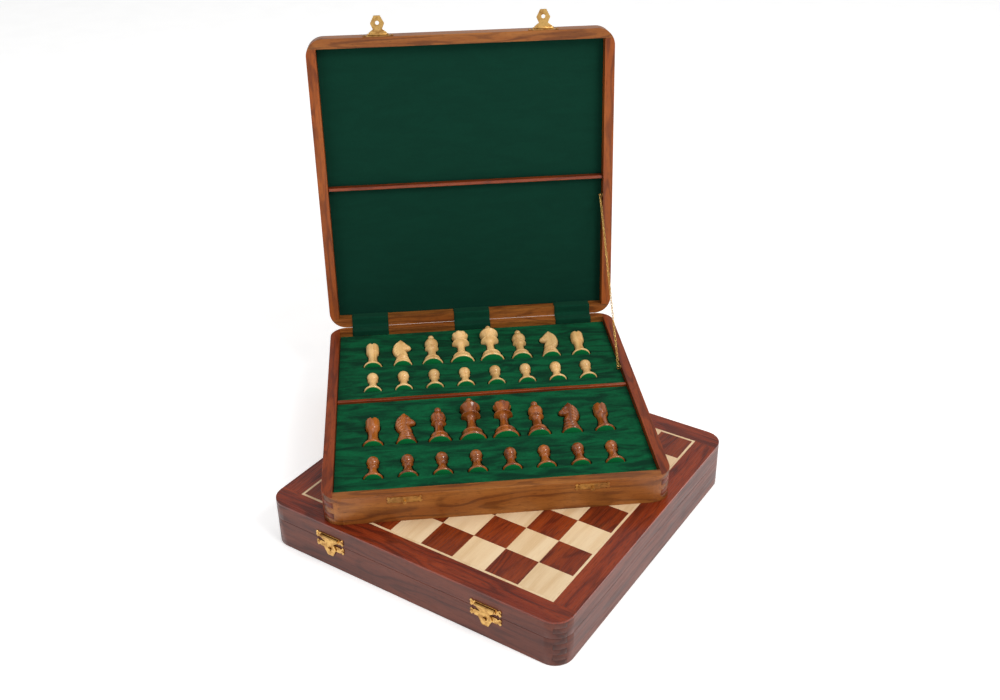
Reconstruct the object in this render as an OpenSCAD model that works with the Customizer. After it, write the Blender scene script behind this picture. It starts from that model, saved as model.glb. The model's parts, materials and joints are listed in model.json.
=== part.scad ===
// Chess set with board: an open felt-lined case of 32 chessmen standing on a closed case
// of the same size, whose lid is the playing board.
// The frame's origin is the centre of the closed case's underside. X runs along the open
// case's front, Y to its back, Z up.

/* [Cases] */
// outer side of each square case
case_w = 300; // [240:1:400]
// height of a tray, from its underside to its rim
tray_h = 27.5; // [24:0.5:40]
// height of a lid, from its rim to the board's surface
lid_h = 17.5; // [14:0.5:25]
// thickness of the rails
wall = 9.7; // [6:0.1:14]
// radius of the cases' upright corners
corner_r = 17; // [5:0.5:25]
// gap between a closed lid's rim and its tray's
rim_gap = 0.2; // [0.2:0.1:1]

/* [Board] */
// side of one square of the board
square_w = 31.75; // [25:0.25:40]
// width of the light line round the squares
stringing_w = 2.2; // [1:0.1:4]
// thickness of the squares, line and border
inlay_t = 2; // [1:0.1:3]

/* [Open case] */
// turn of the closed case against the open one, in degrees
case_turn = -38.8; // [-90:0.1:90]
// place of the open case's centre, to the right of the closed one's
case_x = -10.9; // [-40:0.1:40]
// place of the open case's centre, behind the closed one's
case_y = 82.4; // [0:0.1:100]
// angle at which the chain stops the open lid
lid_open = 95; // [0:1:110]
// depth of the felt below the tray's rim
felt_drop = 5.5; // [2:0.5:8]
// place of the tray's divider behind the case's middle
divider_y = 9; // [0:0.5:20]

/* [Chessmen] */
// distance between columns of chessmen
column_pitch = 30.4; // [28:0.1:33]
// height of the king
king_h = 59.5; // [50:0.5:60]
// height of the queen
queen_h = 54.5; // [45:0.5:58]
// height of a bishop
bishop_h = 48; // [40:0.5:52]
// height of a knight
knight_h = 43.5; // [38:0.5:46]
// height of a rook
rook_h = 35.5; // [30:0.5:40]
// height of a pawn
pawn_h = 28.5; // [24:0.5:30]
// gap between a chessman and its recess
recess_gap = 0.5; // [0.3:0.1:1]
// slope at which the chessmen lie, heads up
men_slope = 10; // [0:1:12]

/* [Brass] */
// distance of each latch from the middle of the front
latch_x = 80; // [50:1:110]
// width of the latch plates
plate_w = 30; // [24:0.5:36]
// distance of the outer hinges from the middle one
hinge_x = 108; // [80:1:120]
// length of a hinge
hinge_w = 30; // [20:1:36]
// diameter of the stay chain
chain_d = 2.2; // [1.5:0.1:3]

/* [Hidden] */
$fn = 64;
half = case_w / 2;
inner = half - wall;
board_h = tray_h + rim_gap + lid_h;
glue_gap = 0.04;
sheet_gap = 0.1;
panel_t = 3;
lid_panel_t = 4;
lining_t = 0.8;
lid_rail_h = lid_h - inlay_t;
lining_z = lid_rail_h - lid_panel_t - lining_t;
felt_z = tray_h - felt_drop;
playing_w = 8 * square_w;
divider_t = 4;
divider_top = 2;
batten_t = 3.2;
batten_h = 8;
fit_gap = 0.05;
// gap under the open case where it stands on the board
stand_gap = 0.02;

plate_t = 0.8;
plate_h = 7;
plate_z = 4.1;
pivot_out = 1.5;
pivot_z = 4.4;
pivot_r = 0.7;
running_gap = 0.05;
barrel_r = 1.35;
barrel_w = 17.6;
slot_w = 18.4;
slot_h = 3.6;
hasp_t = 0.8;
hasp_hole_drop = 10.9;
hasp_hole_r = 1.9;
catch_z = -4.7;
catch_stud_z = pivot_z - hasp_hole_drop + rim_gap - catch_z;
stud_r = 1;
stud_head_r = 1.45;
brad_r = 0.7;
brad_x = plate_w / 2 - 1.8;

leaf_t = 0.8;
leaf_d = 8;
knuckle_r = 1.6;
knuckle_gap = 0.1;
pin_r = 0.8;
knuckles = 5;
hinge_y = half;
hinge_z = rim_gap / 2;
hinge_places = [-hinge_x, 0, hinge_x];

cover_w = 38;
cover_t = 0.8;
chain_tray = [inner - 2.6, 38, tray_h - 3];
chain_lid = [inner - 2.6, hinge_y - 131, 3.5];
eye_r = 1.9;
eye_wire_r = 0.5;
eye_plate_r = 2.4;
eye_plate_t = 0.6;

base_felt_t = 0.8;
felt_inset = 0.8;
columns = [for (i = [0:7]) (i - 3.5) * column_pitch];
dark_pawn_y = -116;
dark_officer_y = -65.5;
light_pawn_y = 28;
light_officer_y = 74.5;

KING = 0;
QUEEN = 1;
BISHOP = 2;
KNIGHT = 3;
ROOK = 4;
PAWN = 5;
heights = [king_h, queen_h, bishop_h, knight_h, rook_h, pawn_h];
base_radii = [12.6, 12.6, 10.8, 9.8, 9.6, 8.9];
light_row = [ROOK, KNIGHT, BISHOP, QUEEN, KING, BISHOP, KNIGHT, ROOK];
dark_row = [ROOK, KNIGHT, BISHOP, KING, QUEEN, BISHOP, KNIGHT, ROOK];

rosewood = [0.50, 0.24, 0.12];
rail_wood = [0.58, 0.34, 0.16];
maple = [0.91, 0.82, 0.66];
dark_square = [0.42, 0.18, 0.11];
felt = [0.05, 0.34, 0.20];
lining_felt = [0.05, 0.23, 0.15];
boxwood = [0.90, 0.73, 0.45];
sheesham = [0.62, 0.31, 0.13];
brass = [0.80, 0.64, 0.32];
plywood = [0.78, 0.64, 0.45];

// points of a round stretch from angle a to angle b
function arc(centre, r, a, b, steps = 6) =
    [for (i = [0:steps]) centre + r * [cos(a + (b - a) * i / steps), sin(a + (b - a) * i / steps)]];

// height at which the knight's turned base ends
knight_neck_h = 16.4;

// half outlines of the turned men, from the base's edge to the top: [radius, height]
king_outline = concat(
    arc([11, 2.4], 1.6, -60, 70, 4), [[10.5, 6.2], [9.8, 8.6]],
    arc([8.2, 11.2], 1.5, -30, 80, 4), [[5.8, 15], [4, 20], [3.7, 30.4], [5.4, 32.4]],
    arc([8.2, 34.2], 1, -70, 80, 4), [[6.2, 36.8], [6.6, 40.4]],
    arc([8.6, 45.4], 1, -40, 60, 4), [[7.6, 49.4], [5.6, 51.8], [3.2, 53.4], [2.4, 54.4]],
    arc([0, 56.5], 3, -40, 90, 5));
queen_outline = concat(
    arc([11, 2.4], 1.6, -60, 70, 4), [[10.5, 6], [9.8, 8.2]],
    arc([8.2, 10.6], 1.5, -30, 80, 4), [[5.8, 14.4], [4, 19], [3.7, 29.4], [5.2, 31.2]],
    arc([7.9, 33], 1, -70, 80, 4), [[5.9, 35.4], [5.6, 38], [7, 41], [8.8, 44.8], [8.4, 46.2],
    [6.6, 48.4]], arc([0, 43.8], 6.8, 45, 66, 3), arc([0, 52], 2.5, -30, 90, 5));
bishop_outline = concat(
    arc([9.3, 2.2], 1.5, -60, 70, 4), [[8.8, 5.2], [8.1, 7]],
    arc([6.9, 9.4], 1.4, -30, 80, 4), [[5, 13], [4.1, 17], [4, 23], [4.8, 25.2]],
    arc([6, 26.8], 0.9, -70, 80, 4), [[5.2, 28.8], [5.5, 30.4]], arc([0, 34.6], 7, -34, 62, 9),
    [[2.4, 42.2]], arc([0, 44.8], 3.2, -52, 90, 6));
rook_outline = concat(
    arc([8.2, 2], 1.4, -60, 70, 4), [[7.6, 4.6], [5.8, 8], [4.6, 12], [4.2, 16], [4.4, 20],
    [5.8, 22.6], [6.5, 24.6], [6.6, 33.6], [6.3, rook_h]]);
pawn_outline = concat(
    arc([7.5, 2], 1.4, -60, 70, 4), [[6.8, 4.4], [5.2, 7.6], [3.9, 10.8], [3.3, 13.6], [3.4, 15.8],
    [4.9, 17], [4.9, 17.9]], arc([0, 22.8], 5.7, -52, 90, 9));
knight_base = concat(
    arc([8.3, 2], 1.5, -60, 70, 4), [[8, 4.8]], arc([6.9, 7.6], 1.4, -60, 80, 4), [[5.6, 10.4]],
    arc([5.6, 12.6], 1.2, -60, 70, 4), [[5.2, 15], [5.8, knight_neck_h]]);
outlines = [king_outline, queen_outline, bishop_outline, knight_base, rook_outline, pawn_outline];

// outline of the carved knight's head in profile, nose to the right, from the chest round
knight_head = concat(
    [[5.2, 15.4], [6, 18.6], [4.8, 22.2], [2.6, 25.4], [4.6, 26.6], [7.2, 27.2]],
    arc([7.2, 29.7], 2.2, -50, 80, 4),
    [[5.8, 33.8], [4.4, 36.2], [2.6, 38.6], [0.8, 40.2], [-0.2, 41.4], [-0.8, knight_h],
    [-2.6, 41.6], [-5.4, 39.2], [-8.2, 35], [-10, 30], [-10.3, 25.4], [-9.2, 20.8], [-6.6, 17.2],
    [-5.4, 15.4]]);
knight_head_t = 8;

// depth of a lying man's axis below the felt
function sink(kind) = 0.4 * base_radii[kind];
// a man's half outline from the middle of its base
function half_outline(kind) = concat([[base_radii[kind] - felt_inset, 0]], outlines[kind]);
// height of the turned body: the knight's ends under its head
function turned_h(kind) = kind == KNIGHT ? knight_neck_h : heights[kind];
// centre of the lid's local point in the tray's frame, with the lid open
function opened(p) =
    let (y = p.y - hinge_y, z = p.z - (hinge_z - rim_gap))
    [p.x, hinge_y + y * cos(lid_open) + z * sin(lid_open),
        tray_h + hinge_z - y * sin(lid_open) + z * cos(lid_open)];

// ---- placing ----

module in_open_case() translate([case_x, case_y, board_h + stand_gap]) children();

module in_board_case() rotate([0, 0, case_turn]) children();

// puts a closed lid on its tray
module on_tray() translate([0, 0, tray_h + rim_gap]) children();

// swings a lid's parts open about its hinges
module opened_lid()
    translate([0, hinge_y, tray_h + hinge_z]) rotate([-lid_open, 0, 0])
        translate([0, -hinge_y, rim_gap - hinge_z]) children();

// ---- case parts, centred on the case: trays from z 0 up, lids from their rim up ----

module case_outline()
    union() {
        square([case_w - 2 * corner_r, case_w], center = true);
        square([case_w, case_w - 2 * corner_r], center = true);
        for (x = [-1, 1], y = [-1, 1])
            translate([x, y] * (half - corner_r)) circle(corner_r);
    }

// boxes that cut every other finger off both ends of a rail along X
module finger_cuts(h, fingers, first)
    for (i = [first:2:fingers - 1], side = [-1, 1])
        translate([side * half - (side > 0 ? wall + glue_gap : 0), -half - 1, h * i / fingers - glue_gap])
            cube([wall + glue_gap, wall + 2, h / fingers + 2 * glue_gap]);

// one rail along the case's front, with fingers at both ends
module rail(h, fingers, first)
    difference() {
        linear_extrude(h) intersection() {
            case_outline();
            translate([-half, -half]) square([case_w, wall]);
        }
        finger_cuts(h, fingers, first);
        children();
    }

// four finger-jointed rails; the children are cut from the back one
module rails(h, fingers) {
    rail(h, fingers, 1);
    rotate([0, 0, 180]) rail(h, fingers, 1) children();
    for (side = [-1, 1])
        rotate([0, 0, side * 90]) rail(h, fingers, 0);
}

// housings for the hinge leaves and knuckles, in a back rail seen from the back
module hinge_housings(leaf_z, axis_z)
    for (x = hinge_places) translate([x - hinge_w / 2 - sheet_gap, 0, 0]) {
        translate([0, -half - 1, leaf_z]) cube([hinge_w + 2 * sheet_gap, leaf_d + 1 + sheet_gap, leaf_t]);
        translate([0, -hinge_y, axis_z]) rotate([0, 90, 0])
            cylinder(r = knuckle_r + knuckle_gap, h = hinge_w + 2 * sheet_gap);
    }

module tray_rail_set()
    color(rail_wood) rails(tray_h, 5)
        hinge_housings(tray_h - leaf_t, tray_h + hinge_z);

module lid_rail_set()
    color(rail_wood) rails(lid_rail_h, 3)
        hinge_housings(0, hinge_z - rim_gap);

module tray_floor()
    color(plywood) translate([0, 0, panel_t / 2])
        cube([2 * inner - sheet_gap, 2 * inner - sheet_gap, panel_t], center = true);

module lid_substrate()
    color(plywood) translate([0, 0, lid_rail_h - lid_panel_t / 2])
        cube([2 * inner - sheet_gap, 2 * inner - sheet_gap, lid_panel_t], center = true);

module border_strips() {
    inside = playing_w / 2 + stringing_w;
    color(rosewood) translate([0, 0, lid_rail_h]) linear_extrude(inlay_t) {
        for (turn = [0, 180]) rotate(turn) intersection() {
            case_outline();
            translate([-half, -half]) square([case_w, half - inside]);
        }
        for (side = [-1, 1])
            translate([side * (half + inside + glue_gap) / 2, 0])
                square([half - inside - glue_gap, 2 * (inside - glue_gap)], center = true);
    }
}

module stringing_lines() {
    side = playing_w / 2;
    color(maple) translate([0, 0, lid_rail_h]) linear_extrude(inlay_t)
        for (turn = [0:90:270]) rotate(turn)
            translate([-side - stringing_w + glue_gap, side + glue_gap])
                square([playing_w + stringing_w - glue_gap, stringing_w - 2 * glue_gap]);
}

// 32 squares of one colour; shade 0 takes the square at the front right corner
module board_squares(shade)
    translate([0, 0, lid_rail_h])
        for (column = [0:7], row = [0:7])
            if ((column + row) % 2 == (shade == 0 ? 1 : 0))
                translate([(column - 4) * square_w + glue_gap / 2, (row - 4) * square_w + glue_gap / 2, 0])
                    cube([square_w - glue_gap, square_w - glue_gap, inlay_t]);

module light_board_squares() color(maple) board_squares(0);

module dark_board_squares() color(dark_square) board_squares(1);

module lid_lining_sheets(gap)
    color(lining_felt)
        for (side = [-1, 1])
            translate([-inner + sheet_gap, side > 0 ? gap / 2 : -inner + sheet_gap, lining_z])
                cube([2 * (inner - sheet_gap), inner - sheet_gap - gap / 2, lining_t]);

// ---- latches, on a case's front ----

// flat outline of a latch plate with a pointed lobe at each end
module plate_outline() {
    body = plate_w / 2 - 4;
    lobe = [[body - 1, 1.4], [body + 1, 2], [body + 2.6, plate_h / 2], [plate_w / 2, 1.6],
        [plate_w / 2 - 0.9, 0]];
    square([2 * body, plate_h - 1.4], center = true);
    for (x = [0, 1], z = [0, 1])
        mirror([x, 0]) mirror([0, z]) polygon(concat(lobe, [[body - 1, 0]]));
}

// stands a flat outline against a case's front face, thickness outwards
module on_front(x, z) translate([x, -half, z]) rotate([90, 0, 0]) children();

module lid_plate()
    color(brass) {
        difference() {
            linear_extrude(plate_t) plate_outline();
            translate([-slot_w / 2, pivot_z - plate_z - slot_h / 2, -1]) cube([slot_w, slot_h, plate_t + 2]);
            for (side = [-1, 1])
                translate([side * brad_x, 0, -1]) cylinder(r = brad_r, h = plate_t + 2);
        }
        for (side = [-1, 1])
            translate([side * (slot_w / 2 + 0.5) - 0.5, pivot_z - plate_z - 1, 0])
                cube([1, 2, pivot_out + pivot_r + 0.3]);
        translate([-slot_w / 2 - 0.5, pivot_z - plate_z, pivot_out])
            rotate([0, 90, 0]) cylinder(r = pivot_r, h = slot_w + 1);
    }

module lid_plates()
    for (side = [-1, 1]) on_front(side * latch_x, plate_z) lid_plate();

module catch_plate()
    color(brass) {
        difference() {
            linear_extrude(plate_t) plate_outline();
            for (side = [-1, 1])
                translate([side * brad_x, 0, -1]) cylinder(r = brad_r, h = plate_t + 2);
        }
        translate([0, catch_stud_z, 0]) {
            cylinder(r = stud_r, h = plate_t + 2.4);
            translate([0, 0, plate_t + 1.8]) cylinder(r = stud_head_r, h = 0.8);
        }
    }

// catches on a tray's front
module catch_plates()
    for (side = [-1, 1]) on_front(side * latch_x, tray_h + catch_z) catch_plate();

// brads through the plates' lobes, for plates centred at height z
module brads(z)
    color(brass)
        for (side = [-1, 1], end = [-1, 1])
            on_front(side * latch_x + end * brad_x, z) {
                translate([0, 0, 0.02]) cylinder(r = brad_r - 0.03, h = plate_t);
                translate([0, 0, plate_t + 0.02]) cylinder(r = brad_r + 0.3, h = 0.4);
            }

// hasp about its pivot, hanging closed, outline in X and Z
module hasp()
    color(brass) rotate([90, 0, 0]) {
        difference() {
            translate([0, 0, -hasp_t / 2]) linear_extrude(hasp_t)
                polygon([[-8.8, 0], [-8.8, -1.8], [-4.4, -5], [-6.8, -10.4], [-3, -17.8],
                    [3, -17.8], [6.8, -10.4], [4.4, -5], [8.8, -1.8], [8.8, 0]]);
            translate([0, -hasp_hole_drop, -1]) cylinder(r = hasp_hole_r, h = 2);
            rotate([0, 90, 0]) cylinder(r = pivot_r + running_gap, h = 2 * plate_w, center = true);
        }
        rotate([0, 90, 0]) difference() {
            cylinder(r = barrel_r, h = barrel_w, center = true);
            cylinder(r = pivot_r + running_gap, h = plate_w, center = true);
        }
    }

// hasp on a lid's front, swung out by an angle
module lid_hasp(side, swing)
    translate([side * latch_x, -half - pivot_out, pivot_z]) rotate([-swing, 0, 0]) hasp();

// ---- hinges, on a case's back; knuckles of one leaf are the even ones, of the other the odd ----

module leaf(z, first)
    color(brass)
        for (x = hinge_places) translate([x - hinge_w / 2, 0, 0]) {
            step = hinge_w / knuckles;
            leaf_end = hinge_y - knuckle_r - knuckle_gap;
            translate([0, half - leaf_d, z]) cube([hinge_w, leaf_end - half + leaf_d, leaf_t]);
            for (i = [first:2:knuckles - 1]) difference() {
                union() {
                    translate([i * step + sheet_gap, leaf_end - 1, z]) cube([step - 2 * sheet_gap,
                        hinge_y - leaf_end + 1, leaf_t]);
                    translate([i * step + sheet_gap, hinge_y, 0])
                        rotate([0, 90, 0]) cylinder(r = knuckle_r, h = step - 2 * sheet_gap);
                }
                translate([-1, hinge_y, 0]) rotate([0, 90, 0]) cylinder(r = pin_r + running_gap, h = hinge_w + 2);
            }
        }

// heights below are from the hinge axis
module tray_leaves() translate([0, 0, tray_h + hinge_z]) leaf(-hinge_z - leaf_t, 0);

module lid_leaves() translate([0, 0, hinge_z - rim_gap]) leaf(rim_gap - hinge_z, 1);

module hinge_pin_set()
    color(brass)
        for (x = hinge_places)
            translate([x - hinge_w / 2, hinge_y, tray_h + hinge_z])
                rotate([0, 90, 0]) cylinder(r = pin_r, h = hinge_w);

// ---- chessmen, standing at the origin ----

module turned_man(kind)
    translate([0, 0, base_felt_t]) rotate_extrude()
        polygon(concat([[0, 0]], [for (p = half_outline(kind)) [p.x, max(0, p.y - base_felt_t)]],
            [[0, turned_h(kind) - base_felt_t]]));

module base_felt(kind)
    color(felt) cylinder(r = base_radii[kind] - felt_inset, h = base_felt_t - glue_gap);

module king() turned_man(KING);

module queen() {
    notch_r = 1.3;
    difference() {
        turned_man(QUEEN);
        for (turn = [0:45:315]) rotate([0, 0, turn]) translate([5.8, 0, 48.8])
            rotate([0, 60, 0]) cylinder(r = notch_r, h = 6);
    }
}

module bishop()
    difference() {
        turned_man(BISHOP);
        translate([0, 0, 36.8]) rotate([0, -38, 0]) translate([3, -10, 0]) cube([8, 20, 1.2]);
    }

module knight()
    union() {
        turned_man(KNIGHT);
        rotate([90, 0, 0]) translate([0, 0, -knight_head_t / 2])
            linear_extrude(knight_head_t) polygon(knight_head);
    }

module rook()
    difference() {
        turned_man(ROOK);
        translate([0, 0, rook_h - 3]) cylinder(r = 4, h = 4);
        for (turn = [0, 90]) rotate([0, 0, turn])
            translate([-10, -1.1, rook_h - 2.4]) cube([20, 2.2, 4]);
    }

module pawn() turned_man(PAWN);

module man(kind) {
    if (kind == KING) king();
    if (kind == QUEEN) queen();
    if (kind == BISHOP) bishop();
    if (kind == KNIGHT) knight();
    if (kind == ROOK) rook();
    if (kind == PAWN) pawn();
}

// lays a man in its recess with its head up and to the back; knights right of the middle look left
module lying_man(kind, x, y, tint)
    in_open_case() translate([x, y, felt_z - sink(kind)]) {
        mirror([kind == KNIGHT && x > 0 ? 1 : 0, 0, 0]) rotate([men_slope - 90, 0, 0]) color(tint) man(kind);
        rotate([men_slope - 90, 0, 0]) base_felt(kind);
    }

module light_man(column) lying_man(light_row[column], columns[column], light_officer_y, boxwood);

module dark_man(column) lying_man(dark_row[column], columns[column], dark_officer_y, sheesham);

// ---- open case ----

// plan of a turned man's recess, along the man
function recess_plan(kind) =
    let (side = concat([[base_radii[kind], -recess_gap - sink(kind) * tan(men_slope)]],
            [for (p = half_outline(kind)) [max(p.x + recess_gap, 2.4), p.y]],
            [[2.4, turned_h(kind) + recess_gap]]))
    concat(side, [for (i = [len(side) - 1:-1:0]) [-side[i].x, side[i].y]]);

module knight_recess_plan()
    union() {
        polygon(recess_plan(KNIGHT));
        offset(delta = recess_gap) polygon(knight_head);
    }

// how far a sloping man's underside reaches beyond its upper side, towards its head
function slope_reach(kind) = 0.6 * base_radii[kind] * sin(men_slope);

// cuts one man's recess: upright walls, and a floor that slopes as the man does
module recess(kind, x, y) {
    depth = base_radii[kind] + 0.3;
    translate([x, y, felt_z - sink(kind)]) intersection() {
        translate([0, 0, -2 * depth]) linear_extrude(4 * depth)
            for (reach = [0, slope_reach(kind)])
                translate([0, reach]) scale([1, cos(men_slope)])
                    if (kind == KNIGHT) mirror([x > 0 ? 1 : 0, 0]) knight_recess_plan();
                    else polygon(recess_plan(kind));
        rotate([men_slope, 0, 0]) translate([-2 * depth, -depth, -depth])
            cube([4 * depth, 7 * depth, 3 * depth]);
    }
}

// felt-covered board from y0 to y1 with a row of officers' and a row of pawns' recesses
module insert(y0, y1, row, officer_y, pawn_y)
    color(felt) difference() {
        translate([-inner + sheet_gap, y0, panel_t]) cube([2 * (inner - sheet_gap), y1 - y0, felt_z - panel_t]);
        for (i = [0:7]) {
            recess(row[i], columns[i], officer_y);
            recess(PAWN, columns[i], pawn_y);
        }
    }

module set_tray_rails() in_open_case() tray_rail_set();

module set_tray_floor() in_open_case() tray_floor();

module insert_dark()
    in_open_case() insert(-inner + sheet_gap, divider_y - divider_t / 2 - fit_gap,
        dark_row, dark_officer_y, dark_pawn_y);

module insert_light()
    in_open_case() insert(divider_y + divider_t / 2 + fit_gap, inner - sheet_gap,
        light_row, light_officer_y, light_pawn_y);

module tray_divider()
    in_open_case() color(rosewood) translate([-inner + sheet_gap, divider_y - divider_t / 2, panel_t])
        cube([2 * (inner - sheet_gap), divider_t, felt_z + divider_top - panel_t]);

module set_tray_catches() in_open_case() catch_plates();

module set_tray_brads() in_open_case() brads(tray_h + catch_z);

module set_tray_hinge_leaves() in_open_case() tray_leaves();

module set_hinge_pins() in_open_case() hinge_pin_set();

// screw eye on the inside of the right rail, its ring across the rail
module chain_eye(p)
    color(brass) translate([inner, p.y, p.z]) {
        rotate([0, -90, 0]) cylinder(r = eye_plate_r, h = eye_plate_t);
        translate([-eye_r - eye_plate_t, 0, 0]) rotate([90, 0, 0]) rotate_extrude()
            translate([eye_r - eye_wire_r, 0]) circle(eye_wire_r);
    }

module tray_chain_eye() in_open_case() chain_eye(chain_tray);

module in_open_lid() in_open_case() opened_lid() children();

module set_lid_rails() in_open_lid() lid_rail_set();

module set_lid_panel() in_open_lid() lid_substrate();

module set_lid_border() in_open_lid() border_strips();

module set_lid_stringing() in_open_lid() stringing_lines();

module set_lid_light_squares() in_open_lid() light_board_squares();

module set_lid_dark_squares() in_open_lid() dark_board_squares();

module set_lid_lining() in_open_lid() lid_lining_sheets(batten_t + 2 * fit_gap);

module lid_batten()
    in_open_lid() color(rosewood) translate([-inner + sheet_gap, -batten_t / 2, lining_z + lining_t - batten_h])
        cube([2 * (inner - sheet_gap), batten_t, batten_h]);

module set_lid_hinge_leaves() in_open_lid() lid_leaves();

module set_lid_latch_plates() in_open_lid() lid_plates();

module set_lid_brads() in_open_lid() brads(plate_z);

module set_lid_hasp_left() in_open_lid() lid_hasp(-1, 90);

module set_lid_hasp_right() in_open_lid() lid_hasp(1, 90);

module lid_chain_eye() in_open_lid() chain_eye(chain_lid);

// length of a vector
function length(v) = sqrt(v * v);

// taut chain, drawn as a round rod between the rings of its two eyes
module stay_chain() {
    low = chain_tray;
    high = opened(chain_lid);
    run = high - low;
    end_gap = eye_r + 0.2;
    in_open_case() color(brass) translate(low)
        rotate([0, acos(run.z / length(run)), atan2(run.y, run.x)])
            translate([0, 0, end_gap]) cylinder(d = chain_d, h = length(run) - 2 * end_gap);
}

// cloth over one hinge: from the lid's lining down its back rail and over its rim, round the
// knuckles, over the tray's back rail and down its inside; front face first, then back face
module hinge_cover_section() {
    axis = [hinge_y, tray_h + hinge_z];
    bend_r = knuckle_r + 0.25;
    top = tray_h + sheet_gap;
    side = inner - sheet_gap;
    hem = felt_z + sheet_gap;
    lid_hem = lining_z - sheet_gap;
    lid_front = [[side - cover_t, lid_hem], [side - cover_t, -cover_t - sheet_gap],
        [hinge_y - bend_r - cover_t, -cover_t - sheet_gap]];
    lid_back = [[hinge_y - bend_r, -sheet_gap], [side, -sheet_gap], [side, lid_hem]];
    polygon(concat(in_lid_section(lid_front), arc(axis, bend_r + cover_t, 112, 158, 4),
        [[hinge_y - bend_r - cover_t, top + cover_t], [side - cover_t, top + cover_t],
        [side - cover_t, hem], [side, hem], [side, top], [hinge_y - bend_r, top]],
        arc(axis, bend_r, 180, 100, 4), in_lid_section(lid_back)));
}

// points of the closed lid's section, [y, z], swung open with it
function in_lid_section(points) =
    [for (p = points) let (q = opened([0, p.x, p.y])) [q.y, q.z]];

module hinge_covers()
    in_open_case() color(lining_felt)
        for (x = hinge_places)
            translate([x - cover_w / 2, 0, 0]) rotate([90, 0, 90]) linear_extrude(cover_w) hinge_cover_section();

// ---- closed board case ----

module board_tray_rails() in_board_case() tray_rail_set();

module board_tray_floor() in_board_case() tray_floor();

module board_tray_catches() in_board_case() catch_plates();

module in_board_lid() in_board_case() on_tray() children();

module board_lid_rails() in_board_lid() lid_rail_set();

module board_lid_panel() in_board_lid() lid_substrate();

module board_border() in_board_lid() border_strips();

module board_stringing() in_board_lid() stringing_lines();

module board_light_squares() in_board_lid() light_board_squares();

module board_dark_squares() in_board_lid() dark_board_squares();

module board_linings() {
    in_board_lid() lid_lining_sheets(fit_gap);
    in_board_case() color(lining_felt) translate([0, 0, panel_t + lining_t / 2])
        cube([2 * (inner - sheet_gap), 2 * (inner - sheet_gap), lining_t], center = true);
}

module board_hinge_leaves() {
    in_board_case() tray_leaves();
    in_board_lid() lid_leaves();
}

module board_hinge_pins() in_board_case() hinge_pin_set();

module board_latch_plates() in_board_lid() lid_plates();

module board_brads() {
    in_board_lid() brads(plate_z);
    in_board_case() brads(tray_h + catch_z);
}

module board_hasp_left() in_board_lid() lid_hasp(-1, 0);

module board_hasp_right() in_board_lid() lid_hasp(1, 0);

// ---- chessmen in their recesses ----

module light_pawns()
    for (x = columns) lying_man(PAWN, x, light_pawn_y, boxwood);

module dark_pawns()
    for (x = columns) lying_man(PAWN, x, dark_pawn_y, sheesham);

board_tray_rails();
board_tray_floor();
board_tray_catches();
board_lid_rails();
board_lid_panel();
board_border();
board_stringing();
board_light_squares();
board_dark_squares();
board_linings();
board_hinge_leaves();
board_hinge_pins();
board_latch_plates();
board_brads();
board_hasp_left();
board_hasp_right();
set_tray_rails();
set_tray_floor();
insert_dark();
insert_light();
tray_divider();
set_tray_catches();
set_tray_brads();
set_tray_hinge_leaves();
set_hinge_pins();
tray_chain_eye();
set_lid_rails();
set_lid_panel();
set_lid_border();
set_lid_stringing();
set_lid_light_squares();
set_lid_dark_squares();
set_lid_lining();
lid_batten();
set_lid_hinge_leaves();
set_lid_latch_plates();
set_lid_brads();
set_lid_hasp_left();
set_lid_hasp_right();
lid_chain_eye();
hinge_covers();
stay_chain();
light_man(0);  // light_rook_left
light_man(1);  // light_knight_left
light_man(2);  // light_bishop_left
light_man(3);  // light_queen
light_man(4);  // light_king
light_man(5);  // light_bishop_right
light_man(6);  // light_knight_right
light_man(7);  // light_rook_right
light_pawns();
dark_man(0);  // dark_rook_left
dark_man(1);  // dark_knight_left
dark_man(2);  // dark_bishop_left
dark_man(3);  // dark_king
dark_man(4);  // dark_queen
dark_man(5);  // dark_bishop_right
dark_man(6);  // dark_knight_right
dark_man(7);  // dark_rook_right
dark_pawns();
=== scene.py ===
"""Looks of a chess set with board: an open case of men on a closed case whose lid is the board."""

import json
import math

import bmesh
import bpy
import numpy as np
from mathutils import Matrix, Vector
from mathutils.geometry import delaunay_2d_cdt


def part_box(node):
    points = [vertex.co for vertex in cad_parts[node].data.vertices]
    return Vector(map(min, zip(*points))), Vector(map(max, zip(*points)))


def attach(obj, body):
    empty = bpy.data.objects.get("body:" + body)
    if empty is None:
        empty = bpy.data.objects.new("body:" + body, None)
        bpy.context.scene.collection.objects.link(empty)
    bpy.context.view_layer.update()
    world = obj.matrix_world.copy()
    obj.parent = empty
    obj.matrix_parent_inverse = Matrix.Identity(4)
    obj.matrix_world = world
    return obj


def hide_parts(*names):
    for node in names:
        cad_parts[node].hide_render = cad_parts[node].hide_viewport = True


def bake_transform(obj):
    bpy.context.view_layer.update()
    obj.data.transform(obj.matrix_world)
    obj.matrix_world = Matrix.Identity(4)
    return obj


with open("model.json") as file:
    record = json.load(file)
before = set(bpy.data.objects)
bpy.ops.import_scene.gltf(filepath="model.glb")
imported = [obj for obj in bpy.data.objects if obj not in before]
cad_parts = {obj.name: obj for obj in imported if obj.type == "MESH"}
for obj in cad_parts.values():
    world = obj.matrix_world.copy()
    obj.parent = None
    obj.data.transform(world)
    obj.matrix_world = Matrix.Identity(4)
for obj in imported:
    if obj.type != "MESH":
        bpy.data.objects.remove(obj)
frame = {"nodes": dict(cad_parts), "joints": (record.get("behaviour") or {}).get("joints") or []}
bpy.context.view_layer.update()

MM = 0.001
NODES = frame["nodes"]
JOINTS = {j["name"]: j for j in frame["joints"]}
SCENE = bpy.context.scene

# ---- places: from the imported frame, or the CAD part's own sizes ----

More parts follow.
